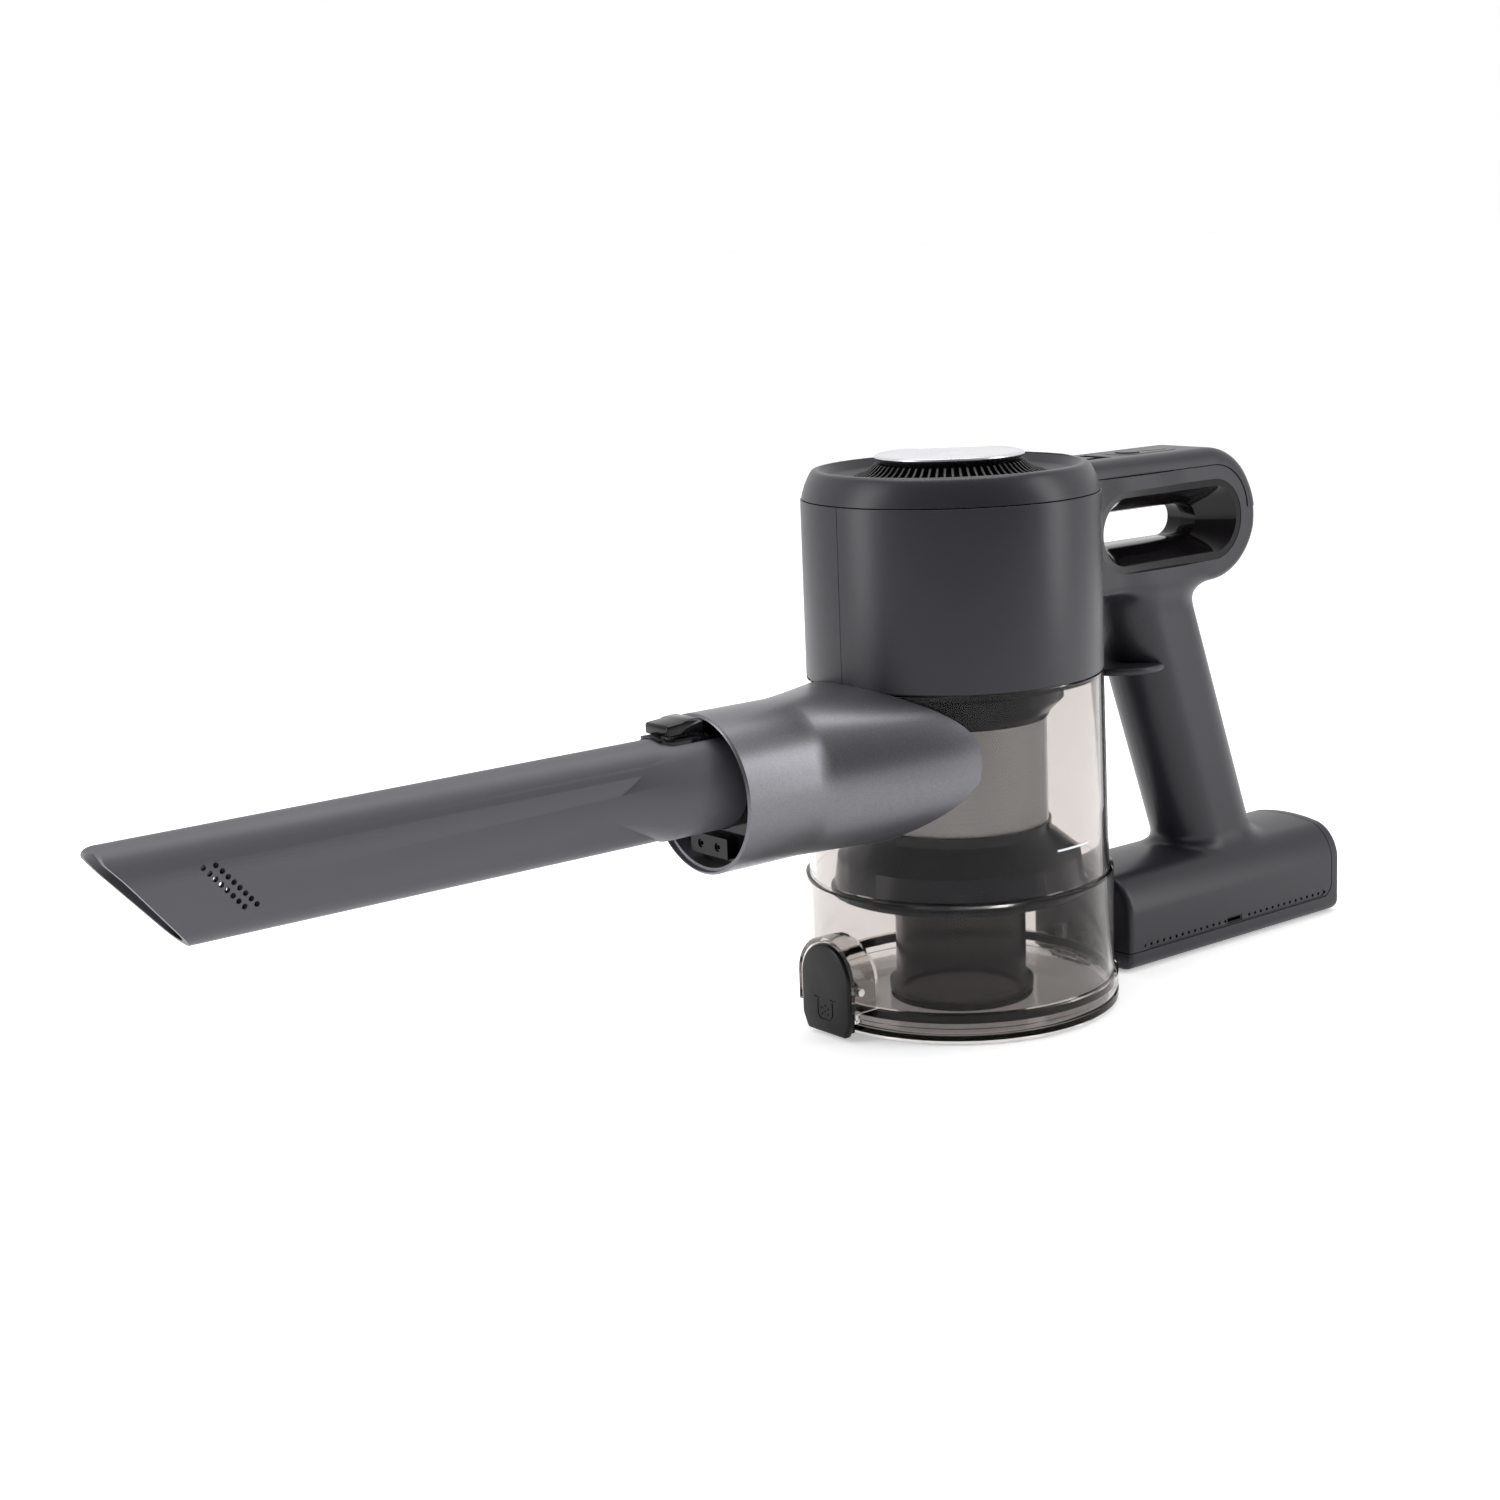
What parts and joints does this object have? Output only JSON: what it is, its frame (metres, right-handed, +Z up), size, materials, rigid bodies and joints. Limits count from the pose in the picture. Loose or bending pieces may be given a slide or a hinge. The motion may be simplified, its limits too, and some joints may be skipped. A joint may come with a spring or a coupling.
{
  "type": "handheld vacuum",
  "caption": "Cordless handheld cyclone vacuum with a see-through dust cup, pistol grip, battery foot and a long flat crevice tool.",
  "frame": {"origin": "centre of the lid's underside, on the axis of the motor and cyclone, at floor level", "axes": "+X along the inlet duct towards the crevice tool's tip, +Y to the side with the charging socket, +Z up along the motor's axis"},
  "size_m": [0.5735, 0.127, 0.222],
  "materials": {
    "casing": "satin warm dark grey, fine spark texture",
    "pewter": "satin pewter metallic lacquer",
    "tool": "matte dark grey, fine grain",
    "gloss_black": "polished black",
    "satin_black": "satin black",
    "cyclone_black": "semi-gloss blue black",
    "smoke": "smoky warm grey clear plastic",
    "smoke_tube": "deep smoky grey",
    "disc_silver": "silver lacquer, semi-gloss",
    "steel": "brushed",
    "motor_metal": "die cast",
    "copper": "enamelled copper and lamination",
    "contact": "gold plated",
    "rubber": "matte",
    "filter": "felt and pleated filter medium",
    "board": "green solder mask",
    "cell": "shrink sleeve",
    "white_lens": "milky lens or print"
  },
  "bodies": {
    "root": {"motor_housing": "casing", "top_cover": "casing", "exhaust_filter": "filter", "motor_can": "motor_metal", "motor_stator": "copper", "upper_bearing": "steel", "lower_bearing": "steel", "motor_frame": "satin_black", "motor_mount": "rubber", "circuit_board": "board", "handle_left": "casing", "handle_right": "casing", "loop_liner": "gloss_black", "grip_left": "casing", "grip_right": "casing", "finger_guard": "casing", "handle_screws": "steel", "control_panel": "casing", "mode_spring": "steel", "charge_display": "satin_black", "grip_light": "white_lens", "battery_housing": "casing", "charging_socket": "satin_black", "battery_terminals": "contact", "dust_cup": "smoke", "fill_mark": "white_lens", "cup_seal": "rubber", "cyclone_collar": "cyclone_black", "pre_filter": "filter", "mesh_screen": "steel", "cyclone_skirt": "cyclone_black", "dust_tube": "smoke_tube", "lid_pin": "steel", "latch_pin": "steel", "latch_spring": "steel", "inlet_duct": "pewter", "mouth_liner": "gloss_black", "contact_block": "satin_black", "contact_sockets": "gloss_black"},
    "rotor": {"motor_shaft": "steel", "rotor_magnet": "motor_metal", "impeller": "motor_metal"},
    "exhaust_cap": {"exhaust_grille": "satin_black", "vent_disc": "disc_silver"},
    "catch": {"filter_catch": "satin_black"},
    "mode_key": {"mode_button": "casing"},
    "power_key": {"power_button": "white_lens"},
    "battery_pack": {"battery_tray": "casing", "battery_cells": "cell", "battery_board": "board", "tray_screws": "steel"},
    "battery_key": {"battery_release": "satin_black"},
    "lid": {"lid": "smoke", "lid_seal": "rubber", "tube_gasket": "rubber"},
    "latch": {"latch_lever": "satin_black"},
    "tool": {"crevice_tool": "tool", "button_base": "gloss_black"},
    "tool_key": {"tool_button": "gloss_black"}
  },
  "joints": [
    {"name": "motor_spin", "type": "hinge", "parent": "root", "child": "rotor", "pos_m": [0, 0, 0.17], "axis": [0, 0, 1], "continuous": true},
    {"name": "exhaust_cap_lift", "type": "slide", "parent": "root", "child": "exhaust_cap", "axis": [0, 0, 1], "range_m": [0, 0.025]},
    {"name": "filter_catch_slide", "type": "slide", "parent": "root", "child": "catch", "axis": [-1, 0, 0], "range_m": [0, 0.005], "stiffness_N_per_m": 300},
    {"name": "mode_button_press", "type": "slide", "parent": "root", "child": "mode_key", "axis": [0, 0, -1], "range_m": [0, 0.0008], "stiffness_N_per_m": 800, "deforming": ["mode_spring"]},
    {"name": "power_button_press", "type": "slide", "parent": "root", "child": "power_key", "axis": [1, 0, 0], "range_m": [0, 0.001], "stiffness_N_per_m": 800},
    {"name": "battery_slide", "type": "slide", "parent": "root", "child": "battery_pack", "axis": [-1, 0, 0], "range_m": [0, 0.14]},
    {"name": "battery_release_press", "type": "slide", "parent": "battery_pack", "child": "battery_key", "axis": [1, 0, 0], "range_m": [0, 0.0015], "stiffness_N_per_m": 800},
    {"name": "lid_hinge", "type": "hinge", "parent": "root", "child": "lid", "pos_m": [-0.0668, 0, 0.0035], "axis": [0, 1, 0], "range_deg": [0, 85]},
    {"name": "latch_hinge", "type": "hinge", "parent": "root", "child": "latch", "pos_m": [0.0682, 0, 0.02], "axis": [0, -1, 0], "range_deg": [0, 9], "stiffness_Nm_per_rad": 0.5},
    {"name": "tool_slide", "type": "slide", "parent": "root", "child": "tool", "axis": [1, 0, 0], "range_m": [0, 0.045]},
    {"name": "tool_button_press", "type": "slide", "parent": "tool", "child": "tool_key", "axis": [0, 0, -1], "range_m": [0, 0.0015], "stiffness_N_per_m": 800}
  ]
}
